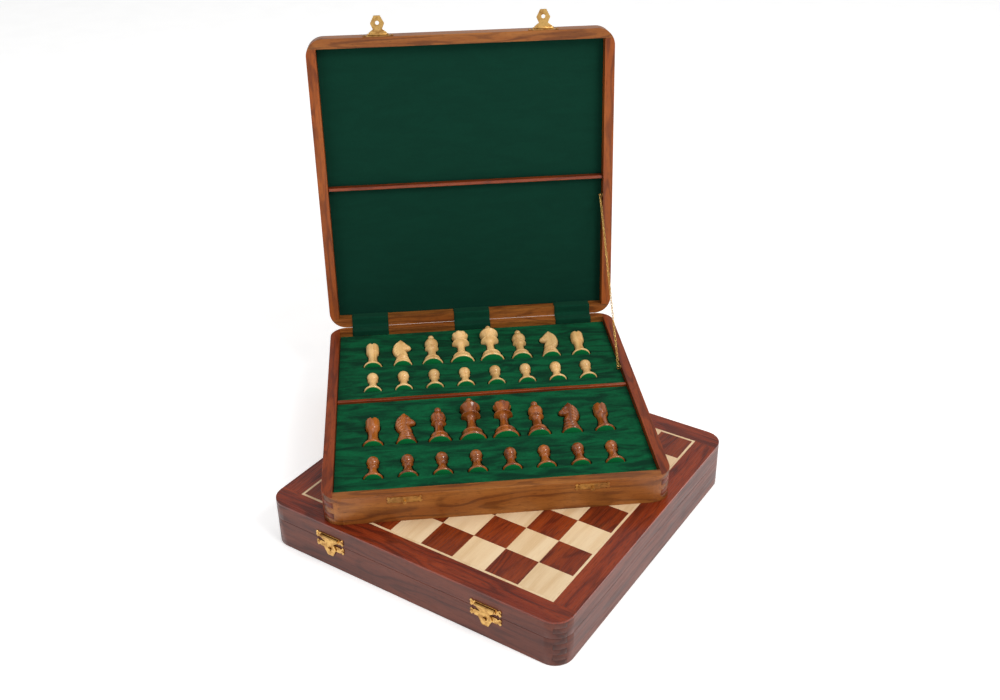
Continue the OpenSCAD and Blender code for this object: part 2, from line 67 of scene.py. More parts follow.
floor_low, floor_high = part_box("set_tray_floor")
rails_low, rails_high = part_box("set_tray_rails")
CASE = Vector(((rails_low.x + rails_high.x) / 2, (floor_low.y + floor_high.y) / 2, floor_low.z))
HALF = (rails_high.x - rails_low.x) / 2
WALL = 9.7 * MM
INNER = HALF - WALL
TRAY_H = 27.5 * MM
RIM_GAP = 0.2 * MM
LID_LOW = TRAY_H + RIM_GAP
LID_RAIL_H = 15.5 * MM
HINGE = Vector(JOINTS["set_lid_hinge"]["pos_m"])
LID_OPEN = math.radians(95)
TURN = math.radians(-38.8)
SQUARE = 31.75 * MM
STRINGING = 2.2 * MM
FELT_Z = CASE.z + 22 * MM

TO_TRAY = Matrix.Translation(-CASE)
TO_LID = Matrix.Translation(HINGE - CASE) @ Matrix.Rotation(LID_OPEN, 4, "X") @ Matrix.Translation(-HINGE)
TO_BOARD = Matrix.Rotation(-TURN, 4, "Z")
FRAMES = {"tray": TO_TRAY, "lid": TO_LID, "board": TO_BOARD}


# ---- node trees ----


class Tree:
    """A small helper that adds shader nodes and links them."""

    def __init__(self, name):
        self.material = bpy.data.materials.new(name)
        self.material.use_nodes = True
        self.tree = self.material.node_tree
        self.shader = self.tree.nodes["Principled BSDF"]

    def add(self, kind, **settings):
        node = self.tree.nodes.new(kind)
        for key, value in settings.items():
            setattr(node, key, value)
        return node

    def put(self, socket, value):
        if isinstance(value, bpy.types.NodeSocket):
            self.tree.links.new(value, socket)
        else:
            socket.default_value = value

    def math(self, operation, a, b=0.0, c=None):
        node = self.add("ShaderNodeMath", operation=operation)
        self.put(node.inputs[0], a)
        self.put(node.inputs[1], b)
        if c is not None:
            self.put(node.inputs[2], c)
        return node.outputs[0]

    def stretch(self, axes, scales):
        """A vector whose three parts are scaled apart, so that noise runs along the fibres."""
        return self.combine(*(self.math("MULTIPLY", axis, scale) for axis, scale in zip(axes, scales)))

    def combine(self, x, y, z):
        node = self.add("ShaderNodeCombineXYZ")
        for socket, value in zip(node.inputs, (x, y, z)):
            self.put(socket, value)
        return node.outputs[0]

    def split(self, vector):
        node = self.add("ShaderNodeSeparateXYZ")
        self.put(node.inputs[0], vector)
        return node.outputs[0], node.outputs[1], node.outputs[2]

    def noise(self, vector, scale=1.0, detail=3.0, roughness=0.5, distortion=0.0):
        node = self.add("ShaderNodeTexNoise")
        self.put(node.inputs["Vector"], vector)
        node.inputs["Scale"].default_value = scale
        node.inputs["Detail"].default_value = detail
        node.inputs["Roughness"].default_value = roughness
        node.inputs["Distortion"].default_value = distortion
        return node.outputs["Fac"]

    def mix(self, factor, a, b):
        """A number between a and b."""
        node = self.add("ShaderNodeMix", data_type="FLOAT")
        self.put(node.inputs[0], factor)
        self.put(node.inputs[2], a)
        self.put(node.inputs[3], b)
        return node.outputs[0]

    def blend(self, factor, a, b, how="MIX"):
        """A colour between a and b."""
        node = self.add("ShaderNodeMix", data_type="RGBA", blend_type=how)
        self.put(node.inputs[0], factor)
        self.put(node.inputs[6], a)
        self.put(node.inputs[7], b)
        return node.outputs[2]

    def ramp(self, value, low, high, to_low=0.0, to_high=1.0):
        node = self.add("ShaderNodeMapRange", interpolation_type="SMOOTHSTEP")
        self.put(node.inputs[0], value)
        for i, number in enumerate((low, high, to_low, to_high)):
            node.inputs[i + 1].default_value = number
        return node.outputs[0]

    def bump(self, height, strength, distance):
        node = self.add("ShaderNodeBump")
        self.put(node.inputs["Height"], height)
        node.inputs["Strength"].default_value = strength
        node.inputs["Distance"].default_value = distance
        self.put(self.shader.inputs["Normal"], node.outputs[0])

    def here(self, matrix=None):
        """Object coordinates, carried into a case's own frame."""
        coordinates = self.add("ShaderNodeTexCoord").outputs["Object"]
        return self.carry(coordinates, matrix, "POINT")

    def normal(self, matrix=None):
        return self.carry(self.add("ShaderNodeTexCoord").outputs["Normal"], matrix, "VECTOR")

    def carry(self, vector, matrix, kind):
        if matrix is None:
            return vector
        node = self.add("ShaderNodeMapping", vector_type=kind)
        self.put(node.inputs["Vector"], vector)
        if kind == "POINT":
            node.inputs["Location"].default_value = matrix.to_translation()
        node.inputs["Rotation"].default_value = matrix.to_euler("XYZ")
        return node.outputs[0]


def rgb(red, green, blue):
    """A linear colour from 8-bit screen values."""
    return tuple(((v / 255 + 0.055) / 1.055) ** 2.4 for v in (red, green, blue)) + (1.0,)


def wood_surface(t, grain, colours, figure=1.0, tone=None, end=None, gloss=0.34, coat=0.06, pores=1.0):
    """Wood whose fibres run along X of the vector `grain`, in metres. colours: light, middle, dark, pore."""
    light, middle, dark, pore = colours
    axes = t.split(grain)
    slow = t.noise(t.stretch(axes, (5.5, 34, 34)), detail=2.5, roughness=0.45, distortion=0.25)
    rings = t.math("MULTIPLY_ADD", t.math("SINE", t.math("MULTIPLY", slow, 74 * figure)), 0.5, 0.5)
    broad = t.noise(t.stretch(axes, (9, 95, 95)), detail=3)
    streaks = t.noise(t.stretch(axes, (26, 620, 620)), detail=3, roughness=0.6)
    pits = t.noise(t.stretch(axes, (150, 2600, 2600)), detail=1)
    body = t.blend(t.ramp(broad, 0.32, 0.68), light, middle)
    lines = t.math("MULTIPLY", t.ramp(rings, 0.45, 1.0), t.ramp(broad, 0.25, 0.62))
    body = t.blend(t.math("MULTIPLY", lines, 0.62), body, dark)
    body = t.blend(t.ramp(streaks, 0.50, 0.78, 0.0, 0.55), body, dark)
    body = t.blend(t.ramp(pits, 0.56, 0.72, 0.0, 0.6 * pores), body, pore)
    if tone is not None:
        body = t.blend(1.0, body, tone, "MULTIPLY")
    if end is not None:
        body = t.blend(end, body, pore)
    t.put(t.shader.inputs["Base Color"], body)
    t.put(t.shader.inputs["Roughness"], t.ramp(streaks, 0.3, 0.8, gloss - 0.05, gloss + 0.12))
    t.shader.inputs["Coat Weight"].default_value = coat
    t.shader.inputs["Coat Roughness"].default_value = 0.16
    t.shader.inputs["Specular IOR Level"].default_value = 0.32
    height = t.math("SUBTRACT", t.math("MULTIPLY", streaks, 0.5), t.ramp(pits, 0.56, 0.72, 0.0, 0.6 * pores))
    t.bump(height, 0.22, 0.00006)


RAIL_GOLD = (rgb(168, 104, 46), rgb(146, 82, 31), rgb(90, 45, 18), rgb(60, 29, 14))
RAIL_ORANGE = (rgb(170, 88, 26), rgb(146, 66, 16), rgb(98, 38, 12), rgb(58, 24, 12))
RAIL_RED = (rgb(152, 66, 20), rgb(130, 48, 13), rgb(84, 29, 10), rgb(50, 20, 11))
BOARD_RAIL = (rgb(112, 54, 36), rgb(92, 42, 29), rgb(64, 28, 21), rgb(42, 20, 17))
BORDER = (rgb(148, 58, 24), rgb(118, 39, 17), rgb(68, 21, 12), rgb(40, 12, 10))
DARK_SQUARE = (rgb(142, 58, 21), rgb(115, 41, 16), rgb(74, 24, 12), rgb(46, 15, 10))
MAPLE = (rgb(241, 214, 174), rgb(234, 203, 160), rgb(219, 184, 138), rgb(204, 166, 120))
BOXWOOD = (rgb(244, 202, 138), rgb(234, 186, 118), rgb(206, 152, 86), rgb(176, 122, 66))
SHEESHAM = (rgb(186, 104, 36), rgb(150, 74, 20), rgb(92, 40, 12), rgb(58, 24, 10))
PLY = (rgb(205, 170, 125), rgb(190, 152, 106), rgb(160, 120, 80), rgb(140, 100, 66))


def rail_material(name, where, colours, side_colours, height, fingers, rim_low=0.0):
    """Finger-jointed rails: the grain runs along each rail, and side rails take the tint of side_colours."""
    t = Tree(name)
    x, y, z = t.split(t.here(FRAMES[where]))
    across_x, across_y = t.math("ABSOLUTE", x), t.math("ABSOLUTE", y)
    beyond_x, beyond_y = t.math("GREATER_THAN", across_x, INNER), t.math("GREATER_THAN", across_y, INNER)
    corner = t.math("MULTIPLY", beyond_x, beyond_y)
    level = t.math("FLOOR", t.math("MULTIPLY", t.math("SUBTRACT", z, rim_low), fingers / height))
    odd = t.math("GREATER_THAN", t.math("FLOORED_MODULO", level, 2.0), 0.5)
    side = t.mix(corner, t.math("GREATER_THAN", across_x, across_y), odd)
    along, across = t.mix(side, x, y), t.mix(side, y, x)
    far = t.math("GREATER_THAN", across, 0.0)
    rail = t.math("MULTIPLY_ADD", side, 2.0, far)
    along, across = t.math("MULTIPLY_ADD", rail, 0.7, along), t.math("MULTIPLY_ADD", rail, 0.31, across)
    grain = t.combine(along, across, z)
    nx, ny, _ = t.split(t.normal(FRAMES[where]))
    facing = t.math("ABSOLUTE", t.mix(side, nx, ny))
    end = t.ramp(facing, 0.35, 0.95, 0.0, 0.5)
    wood_surface(t, grain, colours, end=end, gloss=0.36)
    front = t.shader.inputs["Base Color"].links[0].from_socket
    front_light, side_light = colours[0], side_colours[0]
    tint = tuple(min(1.6, b / a) for a, b in zip(front_light[:3], side_light[:3])) + (1.0,)
    t.put(t.shader.inputs["Base Color"], t.blend(side, front, t.blend(1.0, front, tint, "MULTIPLY")))
    return t.material


def strip_material(name, where, colours, gloss=0.26, coat=0.22, figure=1.0):
    """Long strips whose grain follows the longer side: front and back strips run past the side ones."""
    t = Tree(name)
    x, y, z = t.split(t.here(FRAMES[where]))
    reach = 4 * SQUARE + STRINGING
    side = t.math("LESS_THAN", t.math("ABSOLUTE", y), reach)
    along, across = t.mix(side, x, y), t.mix(side, y, x)
    strip = t.math("MULTIPLY_ADD", side, 2.0, t.math("GREATER_THAN", across, 0.0))
    along, across = t.math("MULTIPLY_ADD", strip, 0.9, along), t.math("MULTIPLY_ADD", strip, 0.37, across)
    grain = t.combine(along, across, z)
    wood_surface(t, grain, colours, gloss=gloss, coat=coat, figure=figure)
    return t.material


def square_material(name, where, colours, spread, gloss=0.24, coat=0.22, figure=1.0, pores=1.0):
    """Inlaid squares, grain along Y, each from another place of the plank, a little lighter or darker."""
    t = Tree(name)
    x, y, z = t.split(t.here(FRAMES[where]))
    column = t.math("FLOOR", t.math("DIVIDE", x, SQUARE))
    row = t.math("FLOOR", t.math("DIVIDE", y, SQUARE))
    chance = t.add("ShaderNodeTexWhiteNoise", noise_dimensions="3D")
    t.put(chance.inputs["Vector"], t.combine(column, row, 0.5))
    pick, lot = chance.outputs["Value"], chance.outputs["Color"]
    a, b, _ = t.split(lot)
    grain = t.combine(t.math("MULTIPLY_ADD", a, 3.0, y), t.math("MULTIPLY_ADD", b, 2.0, x), z)
    shade = t.ramp(pick, 0.0, 1.0, 1.0 - spread, 1.0 + spread)
    tone = t.combine(shade, shade, shade)
    wood_surface(t, grain, colours, figure=figure, tone=tone, gloss=gloss, coat=coat, pores=pores)
    return t.material


def plain_wood(name, colours, along="X", matrix=None, gloss=0.3, coat=0.3, figure=1.0, per_object=False,
               pores=1.0):
    """One piece of wood with its grain along an axis of its own frame."""
    t = Tree(name)
    x, y, z = t.split(t.here(matrix))
    order = {"X": (x, y, z), "Y": (y, x, z), "Z": (z, x, y)}[along]
    tone = None
    if per_object:
        chance = t.add("ShaderNodeObjectInfo").outputs["Random"]
        order = (order[0], t.math("MULTIPLY_ADD", chance, 3.0, order[1]), order[2])
        shade = t.ramp(chance, 0.0, 1.0, 0.86, 1.1)
        tone = t.combine(shade, shade, shade)
    grain = t.combine(*order)
    wood_surface(t, grain, colours, figure=figure, gloss=gloss, coat=coat, tone=tone, pores=pores)
    return t.material


def felt_material(name, matrix, deep, bright, sheen_streaks=0.5, fuzz=0.5):
    """Brushed felt: soft streaks of painted sheen and shade, lighter and darker where the brushed pile lies
    either way, and fine fibres.
    """
    t = Tree(name)
    place = t.here(matrix)
    nap_sheen = t.noise(t.stretch(t.split(place), (28, 105, 105)), detail=4, roughness=0.62, distortion=0.6)
    tuft = t.noise(place, scale=420, detail=4, roughness=0.7)
    fibre = t.noise(place, scale=2600, detail=3, roughness=0.7)
    # painted sheen and shade: the streak noise lightens and darkens the colour where the pile is brushed
    # either way
    base = t.blend(t.ramp(nap_sheen, 0.34, 0.68, 0.5 - sheen_streaks / 2, 0.5 + sheen_streaks / 2), deep, bright)
    base = t.blend(t.ramp(tuft, 0.35, 0.75, 0.0, 0.35), base, deep)
    base = t.blend(t.ramp(fibre, 0.5, 0.8, 0.0, 0.35), base, bright)
    t.put(t.shader.inputs["Base Color"], base)
    t.shader.inputs["Roughness"].default_value = 0.95
    t.shader.inputs["Specular IOR Level"].default_value = 0.12
    t.shader.inputs["Sheen Weight"].default_value = 0.07
    t.shader.inputs["Sheen Roughness"].default_value = 0.45
    t.shader.inputs["Sheen Tint"].default_value = (0.25, 0.75, 0.45, 1.0)
    height = t.math("ADD", t.math("MULTIPLY", tuft, 0.6), t.math("MULTIPLY", fibre, 0.4))
    t.bump(height, fuzz, 0.0003)
    return t.material


def brass_material(name, light, dark, rough=0.3, dimple=0.35):
    """Stamped, lacquered brass: slightly uneven, darker and duller in patches."""
    t = Tree(name)
    place = t.here()
    patch = t.noise(place, scale=230, detail=4, roughness=0.6)
    stamp = t.noise(place, scale=900, detail=2)
    t.put(t.shader.inputs["Base Color"], t.blend(t.ramp(patch, 0.38, 0.72), light, dark))
    t.shader.inputs["Metallic"].default_value = 1.0
    t.put(t.shader.inputs["Roughness"], t.ramp(patch, 0.3, 0.8, rough - 0.06, rough + 0.14))
    t.bump(stamp, dimple, 0.00012)
    return t.material


# every felt carries the painted sheen-and-shade streaks; the tray felt's are strongest (0.9)
TRAY_FELT = felt_material("tray_felt", None, rgb(2, 46, 30), rgb(6, 98, 58), 0.9)
BASE_FELT = felt_material("base_felt", None, rgb(3, 106, 54), rgb(9, 128, 66), 0.3)
LID_FELT = felt_material("lid_felt", None, rgb(6, 48, 36), rgb(10, 60, 45), 0.3, fuzz=0.3)
COVER_FELT = felt_material("cover_felt", None, rgb(6, 50, 36), rgb(11, 70, 48), 0.5)
BRASS = brass_material("brass", rgb(222, 178, 106), rgb(166, 118, 64), rough=0.34)
CHAIN_BRASS = brass_material("chain_brass", rgb(244, 206, 122), rgb(206, 156, 76), rough=0.22, dimple=0.15)
BOX = plain_wood("boxwood", BOXWOOD, along="Z", gloss=0.3, coat=0.35, figure=0.7, per_object=True, pores=0.4)
SHEE = plain_wood("sheesham", SHEESHAM, along="Z", gloss=0.22, coat=0.7, figure=1.2, per_object=True,
                  pores=0.6)
PLYWOOD = plain_wood("plywood", PLY, gloss=0.6, coat=0.0)


# ---- CAD nodes that stay: welded, with small rounded edges, and real materials ----


def dress(node, material, bevel=0.0, segments=2):
    obj = NODES[node]
    obj.data.materials.clear()
    obj.data.materials.append(material)
    weld = obj.modifiers.new("weld", "WELD")
    weld.merge_threshold = 1e-6
    if bevel:
        rounding = obj.modifiers.new("rounding", "BEVEL")
        rounding.width = bevel
        rounding.segments = segments
        rounding.limit_method = "ANGLE"
        rounding.angle_limit = math.radians(40)
        rounding.use_clamp_overlap = True
        rounding.harden_normals = False


RAIL_EDGE = 0.16 * MM
RAILS = (("set_tray", "tray", RAIL_GOLD, RAIL_RED), ("set_lid", "lid", RAIL_GOLD, RAIL_ORANGE),
         ("board_tray", "board", BOARD_RAIL, BOARD_RAIL), ("board_lid", "board", BOARD_RAIL, BOARD_RAIL))
for part, where, front_wood, side_wood in RAILS:
    height, fingers, low = (LID_RAIL_H, 3, LID_LOW) if part.endswith("lid") else (TRAY_H, 5, 0.0)
    wood = rail_material(part + "_rail_wood", where, front_wood, side_wood, height, fingers, low)
    dress(part + "_rails", wood, RAIL_EDGE)
BORDER_EDGE, STRINGING_EDGE, SQUARE_EDGE = 0.3 * MM, 0.03 * MM, 0.04 * MM
for case, where in (("board", "board"), ("set_lid", "lid")):
    dress(case + "_border", strip_material(case + "_border_wood", where, BORDER), BORDER_EDGE, 3)
    maple = strip_material(case + "_stringing_wood", where, MAPLE, figure=0.3)
    dress(case + "_stringing", maple, STRINGING_EDGE, 1)
    maple = square_material(case + "_light_square_wood", where, MAPLE, 0.05, figure=0.35, pores=0.3)
    dress(case + "_light_squares", maple, SQUARE_EDGE, 1)
    dark = square_material(case + "_dark_square_wood", where, DARK_SQUARE, 0.16)
    dress(case + "_dark_squares", dark, SQUARE_EDGE, 1)
for node in ("board_tray_floor", "board_lid_panel", "set_tray_floor", "set_lid_panel"):
    dress(node, PLYWOOD)
dress("tray_divider", plain_wood("divider_wood", RAIL_RED, matrix=TO_TRAY), 0.5 * MM, 3)
dress("lid_batten", plain_wood("batten_wood", RAIL_RED, matrix=TO_LID), 0.5 * MM, 3)
dress("set_lid_lining", LID_FELT, 0.2 * MM)
dress("board_linings", LID_FELT, 0.2 * MM)
for node in ("board_hinge_leaves", "board_hinge_pins", "set_tray_hinge_leaves", "set_hinge_pins",
             "set_lid_hinge_leaves"):
    dress(node, BRASS, 0.08 * MM)
FITTINGS = ("board_tray_catches", "board_latch_plates", "board_brads", "set_tray_catches",
            "set_tray_brads", "set_lid_latch_plates", "set_lid_brads", "board_hasp_left",
            "board_hasp_right", "set_lid_hasp_left", "set_lid_hasp_right", "tray_chain_eye",
            "lid_chain_eye")
for node in FITTINGS:
    dress(node, BRASS, 0.12 * MM)


# ---- meshes ----


def add_object(name, vertices, faces, material, smooth=True):
    mesh = bpy.data.meshes.new(name)
    mesh.from_pydata([tuple(v) for v in vertices], [], faces)
    mesh.validate()
    mesh.materials.append(material)
    if smooth:
        mesh.shade_smooth()
    obj = bpy.data.objects.new(name, mesh)
    SCENE.collection.objects.link(obj)
    return obj


def join_meshes(parts):
    """Vertices and faces of several (vertices, faces) pairs as one pair."""
    vertices, faces = [], []
    for part_vertices, part_faces in parts:
        start = len(vertices)
        vertices += [tuple(v) for v in part_vertices]
        faces += [tuple(i + start for i in face) for face in part_faces]
    return vertices, faces


def smooth_line(points, rounds=2):
    """Corner-cutting rounds an open polyline but keeps its ends."""
    points = [Vector(p) for p in points]
    for _ in range(rounds):
        cut = [points[0]]
        for a, b in zip(points, points[1:]):
            cut += [a.lerp(b, 0.25), a.lerp(b, 0.75)]
        points = cut + [points[-1]]
    return points


def arc(cx, cy, r, start, stop, steps=8):
    return [(cx + r * math.cos(math.radians(start + (stop - start) * i / steps)),
             cy + r * math.sin(math.radians(start + (stop - start) * i / steps))) for i in range(steps + 1)]


def lathe(outline, steps=56, squeeze=None):
    """A closed turned form. outline: (radius, height) in mm from the base's middle up to the top."""
    vertices, faces = [(0, 0, outline[0][1])], []
    for r, h in outline:
        for i in range(steps):
            angle = 2 * math.pi * i / steps
            scale = squeeze(angle, r, h) if squeeze else 1.0
            vertices.append((r * scale * math.cos(angle), r * scale * math.sin(angle), h))
    vertices.append((0, 0, outline[-1][1] + 0.02))
    for i in range(steps):
        faces.append((0, 1 + (i + 1) % steps, 1 + i))
    for ring in range(len(outline) - 1):
        low, high = 1 + ring * steps, 1 + (ring + 1) * steps
        for i in range(steps):
            j = (i + 1) % steps
            faces.append((low + i, low + j, high + j, high + i))
    top, last = len(vertices) - 1, 1 + (len(outline) - 1) * steps
    for i in range(steps):
        faces.append((last + i, last + (i + 1) % steps, top))
    return [tuple(c * MM for c in v) for v in vertices], faces


# ---- chessmen, standing on their felt at the origin, outlines in mm ----

FELT_T = 0.8
FELT_INSET = 0.8
BASE_R = {"king": 12.6, "queen": 12.6, "bishop": 10.8, "knight": 9.8, "rook": 9.6, "pawn": 8.9}
SLOPE = math.radians(10)
SINK = 0.4
HEIGHT = {"king": 59.5, "queen": 54.5, "bishop": 48.0, "knight": 43.5, "rook": 35.5, "pawn": 28.5}
OUTLINES = {
    "king": [(11.8, 0.8)] + arc(11.0, 2.4, 1.55, -55, 70) + [(10.6, 5.6), (10.3, 6.6), (9.9, 7.2), (9.8, 8.8)]
    + arc(8.3, 11.0, 1.4, -40, 85)
    + [(6.8, 13.4), (5.2, 16.4), (4.2, 20.5), (3.6, 26), (3.7, 29.8), (5.0, 31.9)]
    + arc(8.3, 34.0, 0.85, -75, 80) + [(6.8, 35.7), (5.9, 37.4), (5.9, 38.8), (6.9, 41.2), (8.4, 43.6)]
    + arc(8.7, 45.5, 0.85, -45, 60)
    + [(8.3, 47.9), (7.3, 49.8), (5.8, 51.6), (3.9, 52.9), (2.5, 53.5), (2.3, 54.2)]
    + arc(0, 56.5, 2.95, -45, 88, 9),
    "queen": [(11.8, 0.8)] + arc(11.0, 2.4, 1.55, -55, 70)
    + [(10.6, 5.4), (10.3, 6.2), (9.9, 6.8), (9.8, 8.2)]
    + arc(8.3, 10.4, 1.4, -40, 85)
    + [(6.8, 12.8), (5.2, 15.6), (4.2, 19.4), (3.6, 25), (3.7, 28.8), (4.8, 30.8)]
    + arc(8.0, 32.8, 0.85, -75, 80)
    + [(6.3, 34.4), (5.4, 36.2), (5.3, 37.8), (6.4, 40.4), (7.9, 43.0), (8.75, 45.0)]
    + [(8.5, 46.1), (7.5, 46.9)] + arc(0, 42.9, 7.3, 38, 66, 6) + [(2.3, 50.2)]
    + arc(0, 52.0, 2.45, -38, 88, 7),
    "bishop": [(10.0, 0.8)] + arc(9.3, 2.2, 1.45, -55, 70) + [(8.9, 4.8), (8.6, 5.6), (8.2, 6.2), (8.1, 7.4)]
    + arc(7.0, 9.2, 1.25, -40, 85) + [(5.8, 11.4), (4.7, 14.2), (4.1, 18), (3.9, 22.4), (4.6, 24.9)]
    + arc(6.1, 26.6, 0.8, -75, 80) + [(5.3, 28.0), (5.2, 29.2), (5.7, 30.6)] + arc(0, 34.6, 6.9, -32, 62, 12)
    + [(2.6, 41.2), (2.1, 42.2)] + arc(0, 44.8, 3.15, -48, 88, 10),
    "knight": [(9.0, 0.8)] + arc(8.3, 2.0, 1.45, -55, 70) + [(8.0, 4.2), (7.7, 5.2)]
    + arc(6.9, 7.4, 1.3, -50, 85) + [(5.9, 9.4), (5.7, 10.4)] + arc(5.6, 12.4, 1.2, -60, 75)
    + [(5.3, 14.4), (5.6, 16.2)],
    "rook": [(8.8, 0.8)] + arc(8.2, 2.0, 1.35, -55, 70)
    + [(7.7, 4.2), (6.8, 5.4), (5.6, 8.4), (4.7, 12), (4.3, 16)]
    + [(4.5, 20), (5.3, 22.4), (6.2, 23.6), (6.5, 25.0), (6.55, 29), (6.55, 33.6), (6.3, 35.3), (4.6, 35.3),
       (4.2, 34.9), (4.1, 32.6)],
    "pawn": [(8.1, 0.8)] + arc(7.5, 2.0, 1.35, -55, 70) + [(7.1, 4.0), (6.0, 5.8), (4.5, 9.2), (3.5, 12.4)]
    + [(3.3, 14.6), (3.8, 16.0)] + arc(4.5, 16.9, 0.5, -60, 70, 4) + [(3.6, 17.6)]
    + arc(0, 22.8, 5.6, -60, 88, 12),
}
KNIGHT_HEAD = [(5.0, 15.4), (5.9, 18.4), (4.9, 22.0), (2.8, 25.2), (4.2, 26.2), (6.4, 26.9),
               (8.6, 27.8), (9.3, 29.4), (9.1, 30.9), (7.9, 32.2), (6.0, 33.6), (4.6, 35.8),
               (3.0, 38.2), (1.2, 39.9), (0.0, 41.2), (-0.8, 43.4), (-2.4, 41.5), (-5.2, 39.2),
               (-8.0, 35.0), (-9.8, 30.0), (-10.1, 25.4), (-9.0, 20.8), (-6.6, 17.2), (-5.3, 15.4)]
LIGHT_ROW = ("rook", "knight", "bishop", "queen", "king", "bishop", "knight", "rook")
DARK_ROW = ("rook", "knight", "bishop", "king", "queen", "bishop", "knight", "rook")
COLUMN = 30.4 * MM  # from one file of men to the next
ROW_Y = {("light", "pawn"): 28, ("light", "officer"): 74.5, ("dark", "pawn"): -116, ("dark", "officer"): -65.5}


def turned(kind):
    outline = [tuple(p) for p in smooth_line([(r, h, 0) for r, h in OUTLINES[kind]], 1)]
    outline = [(r, h) for r, h, _ in outline]

    def scallop(angle, r, h):
        """The queen's coronet has eight shallow flutes round its widest part."""
        depth = max(0.0, 1 - abs(h - 45.2) / 3.2)
        return 1 - 0.13 * depth * (0.5 - 0.5 * math.cos(8 * angle)) ** 2

    vertices, faces = lathe(outline, squeeze=scallop if kind == "queen" else None)
    if kind == "rook":
        notched = []
        for x, y, z in vertices:
            across = min(abs(x), abs(y))
            if z > 33.9 * MM and across < 1.15 * MM and math.hypot(x, y) > 3 * MM:
                z = 33.2 * MM
            notched.append((x, y, z))
        vertices = notched
    return vertices, faces


def inside(polygon, x, y):
    """Which of the points x, y lie in a closed polygon."""
    result = np.zeros(len(x), bool)
    for (ax, ay), (bx, by) in zip(polygon, np.roll(polygon, -1, axis=0)):
        crosses = (ay > y) != (by > y)
        with np.errstate(divide="ignore", invalid="ignore"):
            result ^= crosses & (x < (bx - ax) * (y - ay) / (by - ay) + ax)
    return result


def distance_to(polygon, x, y):
    """Distance of the points x, y from a closed polygon's outline."""
    best = np.full(len(x), 1e9)
    for a, b in zip(polygon, np.roll(polygon, -1, axis=0)):
        d = b - a
        s = np.clip(((x - a[0]) * d[0] + (y - a[1]) * d[1]) / (d @ d), 0, 1)
        best = np.minimum(best, np.hypot(x - a[0] - s * d[0], y - a[1] - s * d[1]))
    return best


def closed_smooth(points, rounds=2):
    points = np.array(points, float)
    for _ in range(rounds):
        after = np.roll(points, -1, axis=0)
        points = np.stack([0.75 * points + 0.25 * after, 0.25 * points + 0.75 * after], 1).reshape(-1, 2)
    return points


def carved_head():
    """The knight's head: a profile carved round on both faces, with mane, ear, eye, nostril and mouth."""
    profile = closed_smooth(KNIGHT_HEAD, 2)
    step = 0.62  # of the points inside the profile
    gx, gy = np.meshgrid(np.arange(-10, 10, step), np.arange(15.4, 44, step))
    gx, gy = (gx + (np.arange(gx.shape[0]) % 2)[:, None] * step / 2).ravel(), gy.ravel()
    keep = inside(profile, gx, gy) & (distance_to(profile, gx, gy) > 0.4)
    points = [Vector(p) for p in profile] + [Vector(p) for p in zip(gx[keep], gy[keep])]
    rim = len(profile)
    edges = [(i, (i + 1) % rim) for i in range(rim)]
    flat, _, triangles, *_ = delaunay_2d_cdt(points, edges, [], 1, 1e-6)
    flat = np.array([p[:] for p in flat])
    depth = distance_to(profile, flat[:, 0], flat[:, 1])
    x, y = flat[:, 0], flat[:, 1]
    full = 3.9 - 0.9 * np.clip((x - 2) / 6, 0, 1) - 0.8 * np.clip((y - 36) / 6, 0, 1)
    width = full * np.sqrt(np.clip(1 - (1 - np.clip(depth / 2.6, 0, 1)) ** 2, 0, 1))
    mane = np.clip((-2.6 - 0.10 * (y - 22) - x) / 1.2, 0, 1)
    width -= mane * 0.42 * (0.5 + 0.5 * np.cos((y * 0.75 - x * 0.9) * 1.9)) * np.clip(depth / 0.8, 0, 1)
    width -= 0.5 * np.exp(-(((x + 2.4 + 0.1 * (y - 22)) / 0.5) ** 2)) * (y > 18) * (y < 39)
    for cx, cy, r, lift in ((2.4, 34.2, 0.9, 0.5), (8.1, 29.9, 0.55, -0.55), (-0.9, 39.4, 1.3, 0.4)):
        width += lift * np.exp(-(((x - cx) / r) ** 2 + ((y - cy) / r) ** 2))
    width -= 0.45 * np.exp(-(((y - 28.3 - 0.1 * (x - 6)) / 0.35) ** 2)) * np.clip((x - 4.8) / 1, 0, 1)
    width -= 0.5 * np.exp(-(((np.hypot(x - 1.0, y - 30.4) - 4.2) / 0.6) ** 2)) * (x > 0.4) * (y < 31)
    width = np.where(depth < 0.02, 0.0, np.maximum(width, 0.3))
    front = [(a * MM, -w * MM, b * MM) for (a, b), w in zip(flat, width)]
    back = {i: len(front) + n for n, i in enumerate(np.flatnonzero(width > 0))}
    vertices = front + [(flat[i][0] * MM, width[i] * MM, flat[i][1] * MM) for i in back]
    faces = [tuple(t) for t in triangles] + [tuple(back.get(i, i) for i in reversed(t)) for t in triangles]
    return vertices, faces


def man_parts(kind):
    body = [turned(kind)]
    if kind == "knight":
        body.append(carved_head())
    return join_meshes(body)


def felt_disc(kind):
    r = BASE_R[kind] - FELT_INSET
    return lathe([(r - 0.25, 0.0), (r, 0.15), (r, 0.6), (r - 0.15, FELT_T - 0.04)], steps=40)


def flip(vertices, faces):
    return [(-x, y, z) for x, y, z in vertices], [tuple(reversed(f)) for f in faces]


def lay(kind, column, team):
    """Where a man lies: the base towards the front, the head up and to the back."""
    y = ROW_Y[team, "pawn" if kind == "pawn" else "officer"] * MM
    place = Vector((CASE.x + (column - 3.5) * COLUMN, CASE.y + y, FELT_Z - SINK * BASE_R[kind] * MM))
    return Matrix.Translation(place) @ Matrix.Rotation(SLOPE - math.pi / 2, 4, "X")


def finish_normals(obj):
    bm = bmesh.new()
    bm.from_mesh(obj.data)
    bmesh.ops.recalc_face_normals(bm, faces=bm.faces)
    bm.to_mesh(obj.data)
    bm.free()


